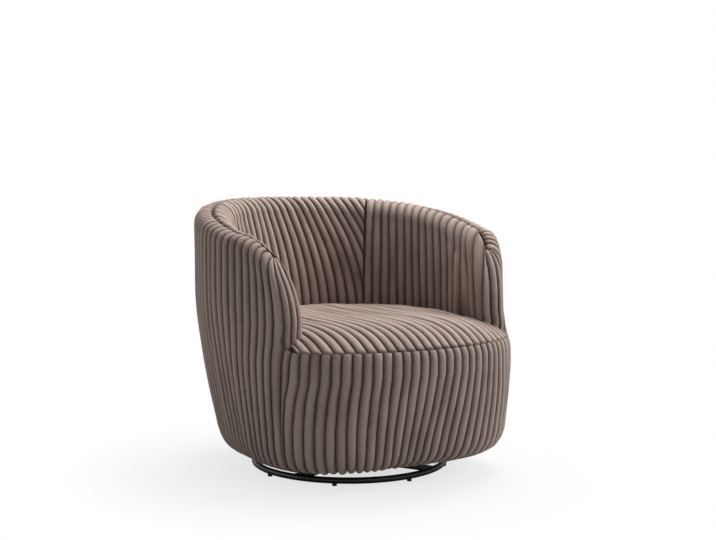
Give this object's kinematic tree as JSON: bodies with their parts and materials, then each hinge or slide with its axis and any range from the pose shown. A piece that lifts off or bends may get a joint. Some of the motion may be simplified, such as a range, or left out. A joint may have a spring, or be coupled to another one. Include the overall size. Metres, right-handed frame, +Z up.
{
  "type": "swivel lounge chair",
  "caption": "Low barrel lounge chair on a round black floor ring, with a ribbed cloth shell that wraps round as back and arms, a rolled rim and a round cushioned seat.",
  "frame": {"origin": "on the floor at the swivel axis, below the middle of the chair", "axes": "+Z up, the sitter faces -Y, and +X is on the sitter's left"},
  "size_m": [0.7982, 0.797, 0.6893],
  "materials": {
    "ribbed_cloth": "soft chenille",
    "padding_foam": "foam",
    "plywood": "raw",
    "webbing": "woven",
    "black_steel": "satin powder coat",
    "zinc_steel": "zinc plated",
    "glide_plastic": "matte"
  },
  "bodies": {
    "base": {"base_ring": "black_steel", "base_arm_1": "black_steel", "base_arm_2": "black_steel", "base_arm_3": "black_steel", "base_arm_4": "black_steel", "base_hub_plate": "black_steel", "glides": "glide_plastic", "swivel_lower_plate": "zinc_steel", "swivel_balls": "zinc_steel", "swivel_ball_cage": "glide_plastic", "swivel_pivot": "zinc_steel", "lower_plate_bolts": "zinc_steel"},
    "seat": {"back_outer_cover": "ribbed_cloth", "back_inner_cover": "ribbed_cloth", "arm_outer_cover_left": "ribbed_cloth", "arm_outer_cover_right": "ribbed_cloth", "arm_inner_cover_left": "ribbed_cloth", "arm_inner_cover_right": "ribbed_cloth", "arm_front_cover_left": "ribbed_cloth", "arm_front_cover_right": "ribbed_cloth", "front_cover": "ribbed_cloth", "seat_top_cover": "ribbed_cloth", "back_foam": "padding_foam", "arm_foam_left": "padding_foam", "arm_foam_right": "padding_foam", "front_foam": "padding_foam", "seat_foam": "padding_foam", "bottom_board": "plywood", "shell_board": "plywood", "front_board": "plywood", "deck_ring": "plywood", "arm_rail": "plywood", "spacer_block": "plywood", "shell_former_1": "plywood", "shell_former_2": "plywood", "shell_former_3": "plywood", "shell_former_4": "plywood", "shell_former_5": "plywood", "shell_former_6": "plywood", "shell_former_7": "plywood", "front_former_1": "plywood", "front_former_2": "plywood", "front_former_3": "plywood", "straps_lengthwise": "webbing", "straps_crosswise": "webbing", "dust_cover": "webbing", "swivel_upper_plate": "zinc_steel", "upper_plate_screws": "zinc_steel", "deck_screws": "zinc_steel"}
  },
  "joints": [
    {"name": "swivel", "type": "hinge", "parent": "base", "child": "seat", "pos_m": [0, 0, 0.0245], "axis": [0, 0, 1], "continuous": true}
  ]
}
